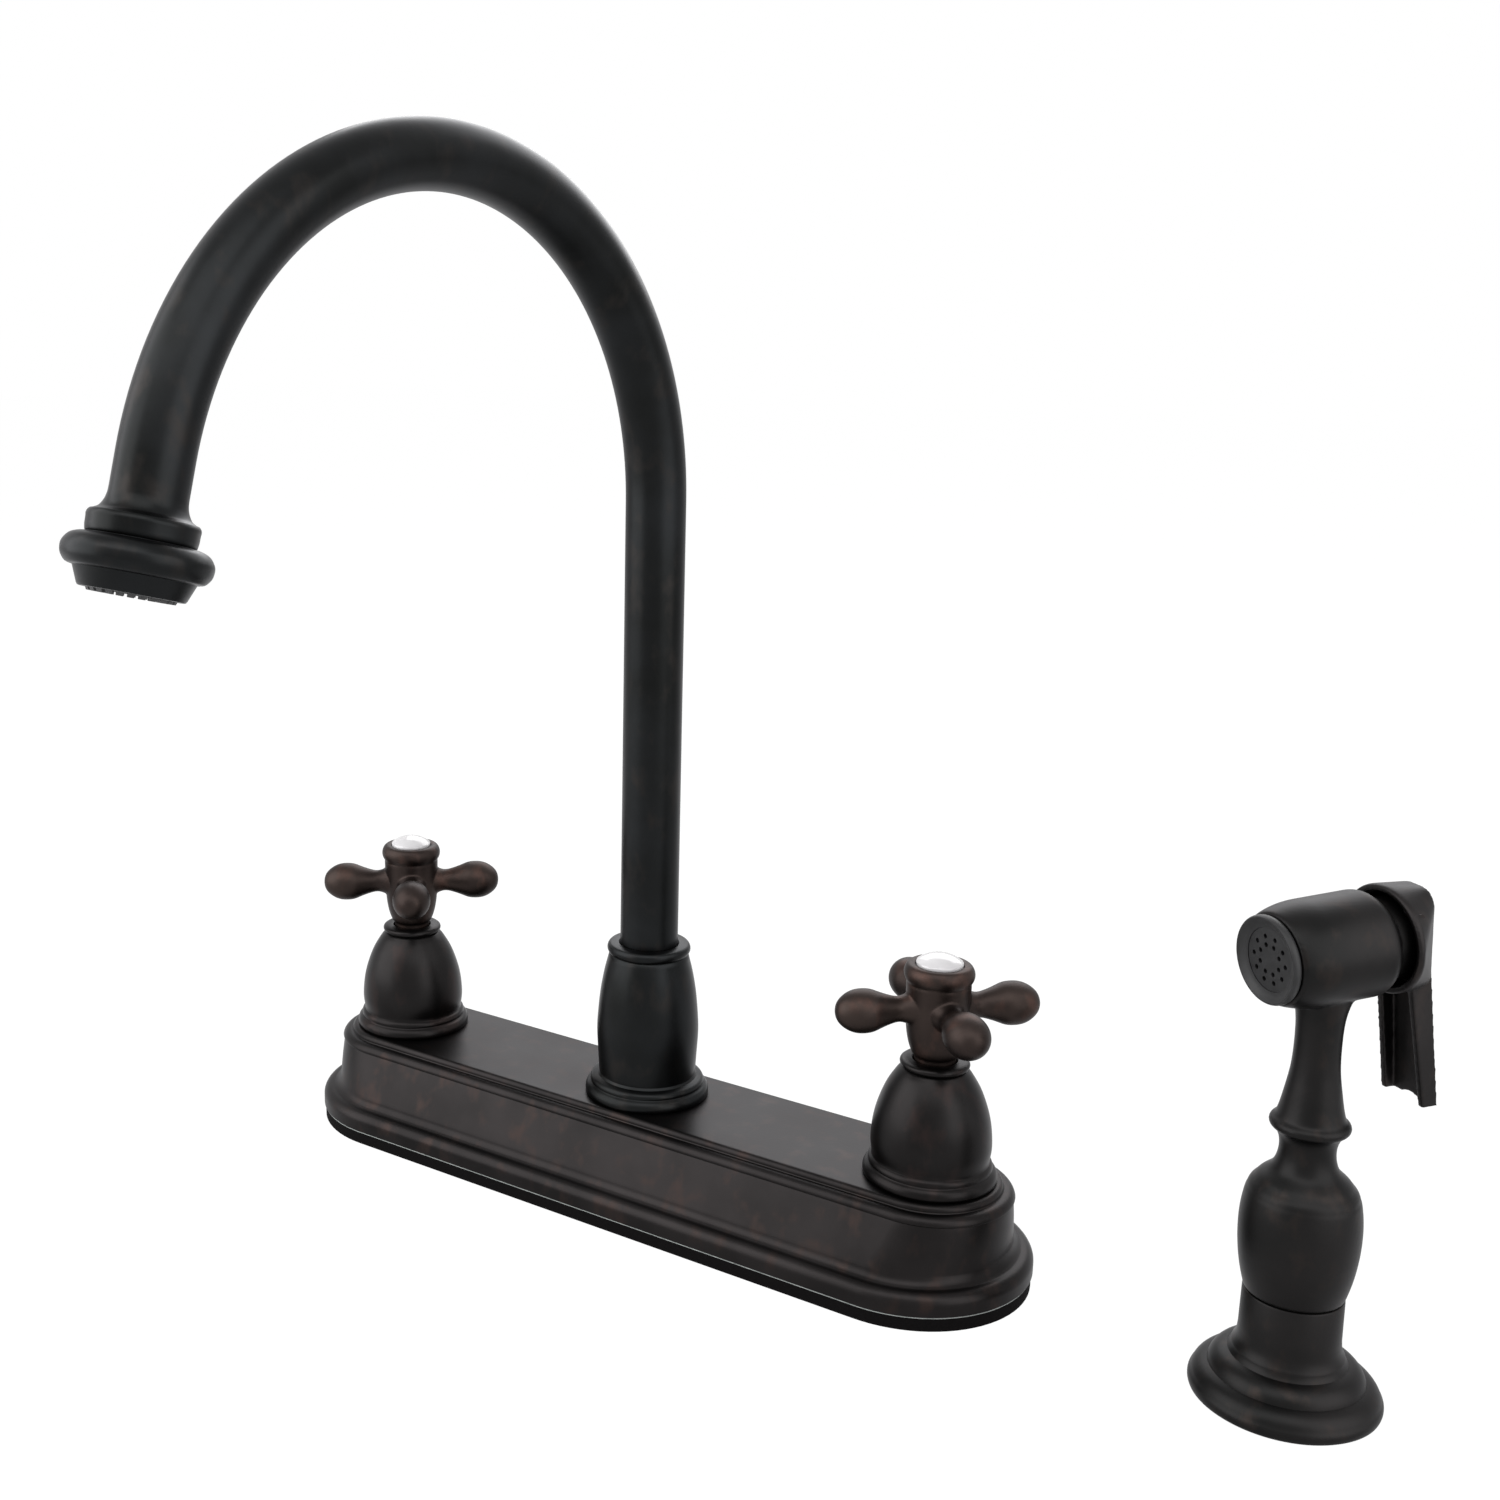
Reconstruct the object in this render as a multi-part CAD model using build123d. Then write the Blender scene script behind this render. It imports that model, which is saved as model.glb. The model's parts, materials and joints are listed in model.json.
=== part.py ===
from build123d import *
from math import cos, sin, radians
import os

# Two handle kitchen faucet with a side sprayer, in millimetres.
# Origin: on the spout's axis, on the sink deck under the plate's gasket.
# +X runs along the plate to the cold handle, +Y to the back, +Z up.

# ---- fits and general values --------------------------------------------------

# radial fits
running = 0.05
slip = 0.3
inside = 0.05
loose = 0.1
hardware_slip = 0.4
# how far a cut runs past the face that it opens
past = 1.0

# ---- stations on the sink -----------------------------------------------------

handle_x = 101.6
sprayer_from_handle = 105.8
sprayer_x = handle_x + sprayer_from_handle
stations = (-handle_x, 0, handle_x)
deck_thickness = 10.0

# ---- plate and its gasket -----------------------------------------------------

gasket_top = 4.45
gasket_inset = 0.5
gasket_hole_r = 17.0
plate_end = 31.5
plate_half_length = handle_x + plate_end
plate_half_width = 36.9
flange_height = 6.85
flange_fillet = 3.5
strip_inset = (4.0, 4.0)
strip_sink = 0.4
# how far each level stands in from the flange's end and side
foot_inset = (6.3, 5.9)
head_inset = (6.4, 11.8)
crown_inset = (6.1, 11.4)
pad_inset = (9.7, 14.8)
strip_height = 3.0
wall_height = 14.1
crown_height = 2.8
crown_fillet = 2.75
pad_height = 2.1
pad_fillet = 1.6
pad_sink = 0.5
flange_top = gasket_top + flange_height
foot_z = flange_top + strip_height
head_z = foot_z + wall_height
crown_top = head_z + crown_height
deck_top = crown_top + pad_height
plate_wall = 2.6
skirt_wall = 3.0
skirt_height = 4.5
room_bottom = 4.0
room_headroom = 1.1
deck_wall = 3.0
ledge_z = deck_top - deck_wall

# ---- waterway casting and the necks that pass up through the plate --------------

neck_r = 12.5
neck_rise = 8.6
valve_neck_rise = 12.7
neck_top = deck_top + neck_rise
valve_neck_top = deck_top + valve_neck_rise
boss_r = 15.0
plate_nut_r = 14.3
plate_nut_height = 4.2
plate_nut_top = deck_top + plate_nut_height
bar_drop = 5.3
bar_height = 16.0
bar_half_width = 9.0
bar_top = ledge_z - bar_drop
bar_bottom = bar_top - bar_height
boss_drop = 3.0
boss_bottom = bar_bottom - boss_drop
duct_r = 3.0
port_offset = 5.0
shank_engagement = 8.0
shank_seat = boss_bottom + shank_engagement
valve_floor_above = 8.0
valve_floor = shank_seat + valve_floor_above
duct_z = (shank_seat + valve_floor) / 2
valve_bore_r = 10.0

# inlet shanks, hose nipple and the hardware under the deck
shank_r = 10.3
shank_bore_r = 7.5
shank_drop = 42.0
washer_r = 22.5
washer_thickness = 1.6
nut_flats = 34.0
nut_height = 6.0
relief_height = 1.0
relief_depth = 0.4
nipple_r = 6.8
nipple_bore_r = 3.5
nipple_drop = 34.0
nipple_engagement = 4.0
nipple_flats = 17.0
nipple_hex_top = -2.0
nipple_hex_height = 6.0

# diverter under the spout
diverter_bore_r = 6.0
diverter_clearance = 0.1
diverter_floor = 12.0
diverter_rest = 2.0
piston_outline = (
    (0.0, 0.0), (5.9, 0.0), (5.9, 2.0), (3.0, 3.0), (3.0, 7.5), (5.9, 8.5), (5.9, 10.5), (4.0, 10.5), (4.0, 9.5),
    (0.0, 9.5))

# ---- ceramic cartridge --------------------------------------------------------

stem_r = 4.0
stem_foot = 3.5
stem_headroom = 1.0
drive_flats = 6.2
disc_r = 8.0
disc_port_r = 2.2
disc_thickness = 3.0
disc_slot = (14.0, 5.0)
disc_slot_depth = 1.5
key_width = 3.0
key_inset = 0.5
key_depth = 1.2
seal_r = 9.6
seal_thickness = 2.0
cartridge_neck_r = 6.5
cartridge_neck = 12.0
cartridge_flats = 22.0
cartridge_hex = 4.5
disc_z = valve_floor + seal_thickness
turning_z = disc_z + disc_thickness
stem_z = turning_z + disc_thickness
cavity_top = stem_z + stem_foot + stem_headroom
cartridge_top = valve_neck_top + cartridge_neck

# ---- profiles: (radius, height) points above the piece's seat -------------------
# One point is a straight run, two together are an arc through the first to the
# second, and three or more are a smooth curve.

bell_outline = (
    (15.2, 0.0), (19.5, 0.0), (19.9, 0.6), ((19.75, 2.2), (18.8, 3.5)), (18.35, 3.7), ((18.35, 4.8), (17.7, 5.8)),
    (17.45, 6.0), ((17.9, 11.5), (17.0, 19.2), (14.5, 26.9), (9.9, 34.3)), (9.3, 34.6), ((10.3, 35.9), (9.3, 37.2)))
bell_hole_r = 6.6
bell_hole_depth = 3.3
bell_hollow = ((10.6, 28.9), (13.4, 23.3), (15.4, 15.7), (15.7, 11.7))
bell_land = (11.7, 5.2)
bell_top = deck_top + bell_outline[-1][-1][1]

handle_gap = 1.7
hub_foot = bell_top + handle_gap
hub_outline = (
    (6.2, -3.0), (6.2, -0.2), (6.9, 0.0), ((8.1, 3.2), (9.0, 8.3), (9.35, 14.8), (9.5, 22.0)), (9.3, 22.6),
    ((10.35, 25.2), (9.3, 27.7)), (8.7, 28.0))
arm_height = 14.5
arm_root = (5.0, 5.6)
arm_side = ((8.6, 4.9), (11.6, 3.85), (14.6, 4.25), (18.8, 5.75))
arm_lobe = (23.2, 6.6)
arm_end_side = (28.85, 4.67)
arm_length = 31.2
arm_count = 4
# the arms' first azimuth on the hot and the cold handle
arm_turn = {"hot": 40.0, "cold": 45.0}
socket_height = 14.8
screw_r = 2.0
screw_head_r = 3.8
screw_head = 2.4
screw_slot = (4.6, 0.9)
screw_slot_depth = 1.2
screw_length = 14.0
screw_hole = 16.0
screw_seat_height = 17.8
stem_shoulder = -3.2
stem_overlap = 0.5
stem_end_gap = 1.0
button_r = 6.9
button_wall = 1.7
button_bottom = 21.8
button_recess = 3.5
button_edge = 28.8
button_lip = (0.25, 0.5)
button_dome = (4.6, 30.1)
button_top = 31.0

# ---- spout --------------------------------------------------------------------

tube_r = 9.4
tube_bore_r = 8.2
thrust_thickness = 2.05
tube_foot_z = neck_top + thrust_thickness + running
tube_flange_r = 12.2
tube_flange = 2.5
spout_rise = 229.5
spout_bend_r = 98.7
spout_bend = 164.4
# straight run from the bend down to the outlet
spout_drop = 8.6
spout_azimuth = -94.0
post_r = 7.4
post_bore_r = 4.8
post_foot_r = 8.45
post_foot = 13.4
post_gap = 0.5
post_length = 34.0
post_foot_z = neck_top - post_foot
bushing_length = 32.0
ring_r = 0.42
ring_squeeze = 0.02
ring_groove = 0.9
ring_groove_width = 1.1
ring_heights = (10.0, 22.0)
nut_play = 0.15
nut_lip = 2.6
collar_outline = (
    (19.9, 0.0), (20.35, 0.6), ((20.2, 2.3), (19.2, 3.7)), (18.7, 3.9), ((18.6, 5.2), (17.7, 6.1)), (16.2, 6.5),
    (15.8, 7.4),
    ((16.25, 13.2), (16.7, 21.7), (16.4, 28.1), (15.7, 35.1), (14.5, 42.0), (12.9, 48.3)), (12.5, 48.6),
    ((13.6, 50.1), (12.7, 51.9)))
collar_slip = 0.08
collar_land = 5.7
collar_hollow = ((12.4, 40.7), (13.7, 32.7))
collar_hollow_foot = 22.7
collar_top = collar_outline[-1][-1][1]

outlet_outline = (
    ((10.0, 3.4), (12.2, 5.7)), ((13.2, 6.2), (13.4, 7.4)), (13.2, 10.7), (12.9, 11.2),
    ((14.4, 11.4), (17.0, 12.9), (18.0, 15.5), (17.0, 18.2), (14.9, 19.3)), (14.4, 19.4), (12.8, 23.5),
    (12.4, 23.9), (11.5, 23.9))
outlet_length = outlet_outline[-1][1]
outlet_spigot = 2.4
outlet_bore_r = 7.2
outlet_shoulder = 8.0
washer_seat = 12.0
aerator_washer_thickness = 1.6
aerator_r = 11.1
aerator_bore_r = 9.2
aerator_way_r = 7.6
aerator_floor = 1.4
aerator_stand = 0.7
aerator_chamfer = (0.7, 1.6)
notches = 24
notch = (2.4, 1.0, 1.2)
screen_z = 5.4
screen_thickness = 1.6
screen_hub_r = 3.0
screen_hub = 1.4
screen_hole_r = 0.6
outer_hole_circle = 7.4
inner_hole_circle = 5.0
outer_holes = 24
inner_holes = 16

# ---- sprayer holder -----------------------------------------------------------

holder_outline = (
    (22.4, 0.0), (24.3, 0.0), ((24.9, 1.4), (24.5, 3.0)), ((23.2, 5.6), (20.7, 7.2)), (20.2, 7.3), (20.0, 7.9),
    ((18.4, 10.4), (15.6, 11.9)), (15.2, 12.0), ((14.6, 12.9), (14.3, 14.0)), ((13.6, 15.4), (13.2, 17.6)),
    (12.95, 30.5), (12.5, 31.0))
holder_top = holder_outline[-1][1]
holder_bore_r = 9.9
holder_shank_r = 12.4
holder_shank_drop = 26.0
holder_undercut = 3.0
holder_undercut_r = 20.4
holder_nut_flats = 36.0
liner_bore_r = 8.6
liner_lip = 2.2
liner_inset = 0.6
holder_shank_end = -deck_thickness - holder_shank_drop

# ---- sprayer ------------------------------------------------------------------

seam = 0.05
coupling_r = 8.2
coupling_length = 36.0
coupling_engagement = 13.0
coupling_bore_r = 4.6
coupling_top = holder_top + coupling_engagement
coupling_end = coupling_top - coupling_length
hose_socket_r = 5.2
hose_socket_depth = 8.0
passage_r = 3.4
clip_rise = 5.0
clip_z = holder_top + clip_rise
clip_height = 1.6
clip_depth = 1.2
clip_stand = 0.9
clip_gap = (9.0, 5.0, 4.0)
clip_play = 0.1
grip_outline = (
    (0.0, 0.05), (12.3, 0.05), ((12.75, 0.3), (13.0, 0.9)),
    ((14.2, 5.7), (15.1, 11.6), (15.45, 17.5), (15.2, 23.3), (14.4, 28.2)), (14.0, 28.45), (14.1, 28.9),
    ((13.6, 30.2), (12.7, 31.3)), (12.2, 31.5), (12.25, 31.9),
    ((10.7, 33.6), (8.6, 35.6), (7.6, 37.8), (7.1, 41.2), (7.5, 44.2), (8.9, 46.7)),
    ((10.2, 48.3), (9.0, 49.9)), (8.7, 50.3),
    ((7.85, 53.6), (7.1, 57.6), (6.2, 63.2), (5.84, 71.0), (6.4, 79.9), (8.2, 85.5)), (8.2, 93.0), (0.0, 93.0))
barrel_rise = 96.7
barrel_z = holder_top + barrel_rise
barrel_turn = -127.0
barrel_tilt = 4.0
# along the head: radii, and distances forward of the grip's axis
barrel_outline = (
    (11.7, -12.8), ((13.3, -11.5), (14.1, -8.8)), (14.1, 6.0), ((13.9, 9.6), (13.2, 13.2), (12.3, 15.9)),
    (11.8, 16.4), (0.0, 16.4))
barrel_rear = barrel_outline[0][1]
spigot_r = 11.0
spigot_rear = -21.0
rear_bore_r = 6.6
front_bore_r = 9.5
front_bore_end = 19.0
seat_at = 4.0
seat_thickness = 2.4
seat_lip = 0.6
seat_lip_r = (5.2, 4.4)
gland_front = -10.0
gland_rear = -14.0
gland_way = 0.9
plunger_r = 2.4
plunger_head_r = 4.2
plunger_head_at = -23.2
plunger_rear = -24.8
plunger_cone = 0.8
plunger_tip_r = 0.8
plunger_disc_r = 5.4
plunger_disc = (7.6, 9.4)
plunger_seal_thickness = 0.5
spring_wire_r = 0.35
spring_r = 3.4
spring_turns = 4
spring_length = 8.2
spring_play = 0.1
nozzle_rear = 13.0
nozzle_face = 16.4
nozzle_rim = ((11.75, 17.5), (11.65, 18.6))
nozzle_rim_r = 11.3
nozzle_lip = (11.3, 18.9)
nozzle_dish = ((10.4, 18.3), (9.4, 17.8))
nozzle_floor = 17.6
face_r = 8.4
face_way_r = 7.6
face_rear = 15.6
face_thickness = 1.8
outer_jet_circle = 6.1
inner_jet_circle = 3.9
outer_jets = 10
inner_jets = 8
jet_r = 0.65

# thumb lever
cap_r = 14.5
cap_front = -17.5
cap_back = -26.8
cap_back_size = (13.0, 27.6)
cap_back_corner = 4.5
cap_back_drop = 0.4
cap_cavity_r = 12.3
cap_wall = 1.8
pin_r = 1.2
pin_length = 21.2
pin_at = (-19.0, 8.5)
strap_top = -8.0
strap_front = -20.4
strap_width = 13.2
strap_tip = (4.6, 15.6)
strap_tip_at = -27.4
lever_end = -46.4
web = (2.2, 1.8)
cheek = (2.0, 1.8)
scallop_r = 6.0
scallop_drop = 5.0

os.makedirs("parts", exist_ok=True)
pieces = {}


# ---- helpers ------------------------------------------------------------------

def turned(*profile):
    # a solid turned about Z from a profile of the kind described above
    edges = []
    at = profile[0]
    for step in profile[1:]:
        if not isinstance(step[0], tuple):
            edges.append(Line(at, step))
            at = step
        elif len(step) == 2:
            edges.append(ThreePointArc(at, *step))
            at = step[-1]
        else:
            edges.append(Spline(at, *step))
            at = step[-1]
    edges.append(Line(at, profile[0]))
    return revolve(Plane.XZ * make_face(Wire(edges)), Axis.Z)


def rod(radius, bottom, top):
    return Pos(0, 0, bottom) * extrude(Circle(radius), top - bottom)


def sleeve(inner, outer, bottom, top):
    return Pos(0, 0, bottom) * extrude(Circle(outer) - Circle(inner), top - bottom)


def hexagon(flats, bottom, top):
    return Pos(0, 0, bottom) * extrude(RegularPolygon(flats / 2, 6, major_radius=False), top - bottom)


def block(length, width, bottom, top):
    return Pos(0, 0, bottom) * extrude(Rectangle(length, width), top - bottom)


def along_x(shape):
    # lay a piece turned about Z along +X
    return Rot(0, 90, 0) * shape


def at_handle(side, shape):
    return Pos(side * handle_x, 0, 0) * shape


def both_handles(shape):
    return Compound(children=[at_handle(side, shape) for side in (-1, 1)])


# ---- deck plate and gasket ----------------------------------------------------

def level(inset, z, wall=0.0):
    # the plate's round-ended outline, set in from the flange
    length = plate_half_length - inset[0] - wall
    width = plate_half_width - inset[1] - wall
    return Pos(0, 0, z) * SlotOverall(2 * length, 2 * width)


def deck_plate():
    flange = extrude(level((0, 0), gasket_top), flange_height)
    flange = fillet(flange.edges().group_by(Axis.Z)[-1], flange_fillet)
    strip = loft([level(strip_inset, flange_top - strip_sink), level(foot_inset, foot_z)], ruled=True)
    wall = loft([level(foot_inset, foot_z), level(head_inset, head_z)], ruled=True)
    crown = extrude(level(crown_inset, head_z), crown_height)
    crown = fillet(crown.edges().group_by(Axis.Z)[-1], crown_fillet)
    pad = extrude(level(pad_inset, crown_top - pad_sink), pad_height + pad_sink)
    pad = fillet(pad.edges().group_by(Axis.Z)[-1], pad_fillet)
    body = flange + strip + wall + crown + pad
    # hollow from below
    shoulder_z = head_z - room_headroom
    skirt = extrude(level((0, 0), gasket_top, skirt_wall), skirt_height)
    room = loft([
        level(foot_inset, gasket_top + room_bottom, plate_wall),
        level(head_inset, shoulder_z, plate_wall)], ruled=True)
    roof = loft([level(head_inset, shoulder_z, plate_wall), level(pad_inset, ledge_z, plate_wall)], ruled=True)
    body = body - skirt - room - roof
    for x in stations:
        body -= Pos(x, 0, 0) * rod(neck_r + slip, ledge_z - past, deck_top + past)
    return body


def plate_gasket():
    sheet = extrude(level((0, 0), 0, gasket_inset), gasket_top)
    for x in stations:
        sheet -= Pos(x, 0, 0) * rod(gasket_hole_r, -past, gasket_top + past)
    return sheet


# ---- waterway casting and inlets ----------------------------------------------

def neck(top):
    return rod(boss_r, boss_bottom, ledge_z) + rod(neck_r, ledge_z, top)


def waterway():
    body = block(2 * handle_x, 2 * bar_half_width, bar_bottom, bar_top) + neck(neck_top)
    for side in (-1, 1):
        body += at_handle(side, neck(valve_neck_top))
    # centre: nipple seat, diverter bore and the post's seat
    nipple_seat = boss_bottom + nipple_engagement
    body -= rod(nipple_r + inside, boss_bottom - past, nipple_seat)
    body -= rod(nipple_bore_r, nipple_seat - past, diverter_floor + past)
    body -= rod(diverter_bore_r, diverter_floor, post_foot_z)
    body -= rod(post_foot_r + inside, post_foot_z - post_gap, neck_top + past)
    for side in (-1, 1):
        body -= at_handle(side, rod(shank_r + inside, boss_bottom - past, shank_seat))
        body -= at_handle(side, rod(valve_bore_r, valve_floor, valve_neck_top + past))
        outer_port = Pos(side * port_offset, 0, 0) * rod(duct_r, shank_seat - past, valve_floor + past)
        inner_port = Pos(-side * port_offset, 0, 0) * rod(duct_r, duct_z, valve_floor + past)
        body -= at_handle(side, outer_port) + at_handle(side, inner_port)
        duct = Pos(0, 0, duct_z) * along_x(rod(duct_r, 0, handle_x - port_offset))
        body -= duct if side > 0 else Rot(0, 0, 180) * duct
    return body


def shank():
    # the thread ends in a shallow relief below the lock nut
    relief_top = -deck_thickness - washer_thickness - nut_height
    relief = sleeve(shank_r - relief_depth, shank_r + past, relief_top - relief_height, relief_top)
    return sleeve(shank_bore_r, shank_r, -deck_thickness - shank_drop, shank_seat) - relief


def under_deck_washer(bore):
    return sleeve(bore, washer_r, -deck_thickness - washer_thickness, -deck_thickness)


def under_deck_nut(flats, bore):
    top = -deck_thickness - washer_thickness
    return hexagon(flats, top - nut_height, top) - rod(bore, top - nut_height - past, top + past)


def hose_nipple():
    bottom = -deck_thickness - nipple_drop
    top = boss_bottom + nipple_engagement
    body = rod(nipple_r, bottom, top) + hexagon(nipple_flats, nipple_hex_top - nipple_hex_height, nipple_hex_top)
    return body - rod(nipple_bore_r, bottom - past, top + past)


def diverter_piston():
    return Pos(0, 0, diverter_floor + diverter_rest) * turned(*piston_outline)


# ---- valves under the handles -------------------------------------------------

def cartridge():
    body = turned(
        (disc_r + slip, disc_z), (valve_bore_r - inside, disc_z), (valve_bore_r - inside, valve_neck_top),
        (cartridge_neck_r, valve_neck_top), (cartridge_neck_r, cartridge_top),
        (stem_r + running, cartridge_top), (stem_r + running, cavity_top), (disc_r + slip, cavity_top))
    body += hexagon(cartridge_flats, valve_neck_top, valve_neck_top + cartridge_hex)
    return body - rod(stem_r + running, cavity_top, cartridge_top + past)


def ported_disc(radius, port_r, bottom, thickness):
    body = rod(radius, bottom, bottom + thickness)
    for side in (-1, 1):
        body -= Pos(side * port_offset, 0, 0) * rod(port_r, bottom - past, bottom + thickness + past)
    return body


def turning_disc():
    slot = Pos(0, 0, turning_z) * extrude(SlotOverall(*disc_slot), disc_slot_depth)
    key = block(key_width + 2 * loose, 2 * (disc_r + past), stem_z - key_depth, stem_z + past)
    return rod(disc_r, turning_z, stem_z) - slot - key


def stem():
    body = rod(disc_r, stem_z, stem_z + stem_foot) + rod(stem_r, stem_z, hub_foot + stem_shoulder)
    body += block(key_width, 2 * (disc_r - key_inset), stem_z - key_depth, stem_z + loose)
    square_top = hub_foot + socket_height - stem_end_gap
    body += block(drive_flats, drive_flats, hub_foot + stem_shoulder - stem_overlap, square_top)
    hole_bottom = hub_foot + screw_seat_height - screw_hole
    return body - rod(screw_r + inside, hole_bottom, square_top + past)


def bell():
    top = bell_outline[-1][-1][1]
    inner = bell_outline[0][0]
    land_top, land_bottom = bell_land
    body = turned(
        *bell_outline, (bell_hole_r, top), (bell_hole_r, top - bell_hole_depth), bell_hollow,
        (neck_r + inside, land_top), (neck_r + inside, land_bottom), (inner, land_bottom))
    return Pos(0, 0, deck_top) * body


# ---- cross handles, built above the hub's foot ----------------------------------

def handle_arm(azimuth):
    # turned about its own axis: flared root, narrow neck, drop-shaped lobe
    tip = (arm_length, 0)
    profile = Wire([
        Line((arm_root[0], 0), arm_root),
        Spline(arm_root, *arm_side, arm_lobe, tangents=[(1, 0), (1, 0)]),
        Spline(arm_lobe, arm_end_side, tip, tangents=[(1, 0), (0, -1)]),
        Line(tip, (arm_root[0], 0))])
    arm = revolve(Plane.XZ * make_face(profile), Axis.X)
    return Pos(0, 0, arm_height) * Rot(0, 0, azimuth) * arm


def cross_handle(azimuth):
    top = hub_outline[-1][1]
    bottom = hub_outline[0][1]
    hub = turned((0, bottom), *hub_outline, (0, top))
    for turn in range(arm_count):
        hub += handle_arm(azimuth + 360 / arm_count * turn)
    hub -= rod(button_r + loose, screw_seat_height, top + past)
    hub -= rod(screw_r + loose, socket_height - past, screw_seat_height + past)
    return hub - block(drive_flats + loose, drive_flats + loose, bottom - past, socket_height)


def handle_screw():
    seat = screw_seat_height
    body = rod(screw_r, seat - screw_length, seat) + rod(screw_head_r, seat, seat + screw_head)
    for turn in (0, 90):
        body -= Rot(0, 0, turn) * block(*screw_slot, seat + screw_head - screw_slot_depth, seat + screw_head + past)
    return body


def index_button():
    lip_in, lip_drop = button_lip
    recess_top = button_bottom + button_recess
    return turned(
        (0, button_top), (button_dome, (button_r - lip_in, button_edge)), (button_r, button_edge - lip_drop),
        (button_r, button_bottom), (button_r - button_wall, button_bottom), (button_r - button_wall, recess_top),
        (0, recess_top))


# ---- spout --------------------------------------------------------------------

def in_spout_plane(shape):
    return Rot(0, 0, spout_azimuth) * shape


def at_outlet(shape):
    angle = radians(180 - spout_bend)
    end_x = spout_bend_r * (1 + cos(angle)) + spout_drop * sin(angle)
    end_z = spout_rise + spout_bend_r * sin(angle) - spout_drop * cos(angle)
    return in_spout_plane(Pos(end_x, 0, end_z) * Rot(0, spout_bend, 0) * shape)


def spout_tube():
    straight = sleeve(tube_bore_r, tube_r, tube_foot_z, spout_rise)
    straight += sleeve(tube_bore_r, tube_flange_r, tube_foot_z, tube_foot_z + tube_flange)
    section = Pos(0, 0, spout_rise) * (Circle(tube_r) - Circle(tube_bore_r))
    bend = revolve(section, Axis((spout_bend_r, 0, spout_rise), (0, 1, 0)), spout_bend)
    return in_spout_plane(straight + bend) + at_outlet(sleeve(tube_bore_r, tube_r, -spout_drop, 0))


def spout_bushing():
    return sleeve(post_r + running, tube_bore_r - inside, tube_foot_z, tube_foot_z + bushing_length)


def spout_post():
    body = sleeve(post_bore_r, post_foot_r, post_foot_z, neck_top)
    body += sleeve(post_bore_r, post_r, neck_top, tube_foot_z + post_length)
    for height in ring_heights:
        middle = tube_foot_z + height
        body -= sleeve(post_r - ring_groove, post_r + past, middle - ring_groove_width / 2,
                       middle + ring_groove_width / 2)
    return body


def spout_o_rings():
    centre_r = post_r - ring_groove + ring_r + ring_squeeze
    return Compound(children=[Pos(0, 0, tube_foot_z + height) * Torus(centre_r, ring_r) for height in ring_heights])


def thrust_ring():
    return sleeve(post_r + loose, neck_r - slip, neck_top, neck_top + thrust_thickness)


def spout_nut():
    lip = tube_foot_z + tube_flange + nut_play
    body = sleeve(neck_r + inside, plate_nut_r, plate_nut_top, lip)
    return body + sleeve(tube_r + slip, plate_nut_r, lip, lip + nut_lip)


def spout_collar():
    hollow_r = plate_nut_r + loose
    body = turned(
        (hollow_r, 0), *collar_outline, (tube_r + collar_slip, collar_top),
        (tube_r + collar_slip, collar_top - collar_land), (*collar_hollow, (hollow_r, collar_hollow_foot)))
    return Pos(0, 0, deck_top) * body


def spout_outlet():
    spigot_r_out = tube_bore_r - loose
    wall_r = aerator_r + inside
    return turned(
        (outlet_bore_r, -outlet_spigot), (spigot_r_out, -outlet_spigot), (spigot_r_out, 0), (tube_r, 0),
        *outlet_outline, (wall_r, outlet_length - aerator_chamfer[0]), (wall_r, washer_seat),
        (outlet_bore_r, outlet_shoulder))


def aerator_housing():
    bottom = washer_seat + aerator_washer_thickness
    end = outlet_length + aerator_stand
    chamfer_r, chamfer_height = aerator_chamfer
    body = turned(
        (aerator_way_r, bottom), (aerator_r, bottom), (aerator_r, end - chamfer_height), (aerator_r - chamfer_r, end),
        (aerator_bore_r, end), (aerator_bore_r, bottom + aerator_floor), (aerator_way_r, bottom + aerator_floor))
    notch_at = aerator_r - notch[0] / 3
    for step in range(notches):
        body -= Rot(0, 0, step * 360 / notches) * Pos(notch_at, 0, end - slip) * Box(*notch)
    return body


def aerator_screen():
    bottom = washer_seat + aerator_washer_thickness + screen_z
    top = bottom + screen_thickness
    body = rod(aerator_bore_r - inside, bottom, top) + rod(screen_hub_r, top, top + screen_hub)
    for circle, count in ((outer_hole_circle, outer_holes), (inner_hole_circle, inner_holes)):
        for step in range(count):
            body -= Rot(0, 0, step * 360 / count) * Pos(circle, 0, 0) * rod(screen_hole_r, bottom - past, top + past)
    return body


def aerator_washer():
    return sleeve(aerator_way_r, aerator_r - loose, washer_seat, washer_seat + aerator_washer_thickness)


# ---- sprayer holder -----------------------------------------------------------

def at_sprayer(shape):
    return Pos(sprayer_x, 0, 0) * shape


def holder_base():
    return turned(
        *holder_outline, (holder_bore_r, holder_top), (holder_bore_r, holder_shank_end),
        (holder_shank_r, holder_shank_end), (holder_shank_r, holder_undercut), (holder_undercut_r, holder_undercut))


def holder_bushing():
    body = sleeve(liner_bore_r, holder_bore_r - inside, holder_shank_end - liner_lip, holder_top - liner_inset)
    return body + sleeve(liner_bore_r, holder_shank_r, holder_shank_end - liner_lip, holder_shank_end)


# ---- sprayer ------------------------------------------------------------------

def in_head(shape):
    # the head's own frame: +X forward along the barrel, origin on the grip's axis
    return at_sprayer(Rot(0, 0, barrel_turn) * Pos(0, 0, barrel_z) * Rot(0, barrel_tilt, 0) * shape)


def cross_pin(radius, length):
    return Pos(pin_at[0], 0, pin_at[1]) * Rot(90, 0, 0) * Cylinder(radius, length)


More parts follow.
